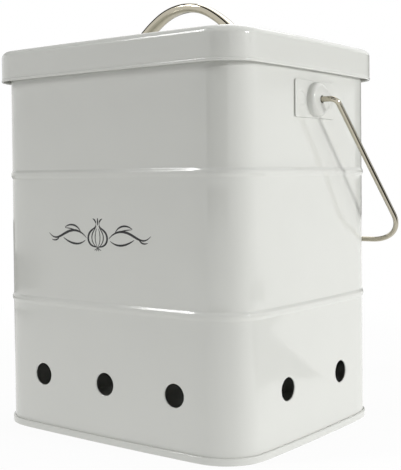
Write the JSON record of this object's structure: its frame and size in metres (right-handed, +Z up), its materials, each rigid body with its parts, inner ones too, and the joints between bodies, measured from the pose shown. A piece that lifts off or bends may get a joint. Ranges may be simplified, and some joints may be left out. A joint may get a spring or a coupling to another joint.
{
  "type": "onion storage canister",
  "caption": "Upright rounded-rectangle steel canister with vent holes, a lift-off lid with an arched bar and a hanging wire bail.",
  "frame": {"origin": "on the floor, under the middle of the base", "axes": "+Z up, front face towards -Y, the bail's ears on the two X sides"},
  "size_m": [0.2442, 0.1789, 0.2836],
  "materials": {
    "painted_steel": "smooth gloss paint, warm pale grey",
    "polished_steel": "polished, nickel tone",
    "plated_steel": "bright zinc plate"
  },
  "bodies": {
    "canister": {"body_shell": "painted_steel", "base_panel": "painted_steel", "right_ear": "painted_steel", "left_ear": "painted_steel"},
    "lid": {"lid_shell": "painted_steel", "lid_handle": "polished_steel", "handle_screws": "plated_steel"},
    "bail": {"bail_handle": "polished_steel"}
  },
  "joints": [
    {"name": "lid_lift", "type": "slide", "parent": "canister", "child": "lid", "axis": [0, 0, 1], "range_m": [0, 0.12]},
    {"name": "bail_pivot", "type": "hinge", "parent": "canister", "child": "bail", "pos_m": [0, 0, 0.2123], "axis": [1, 0, 0], "range_deg": [0, 272.5]}
  ]
}
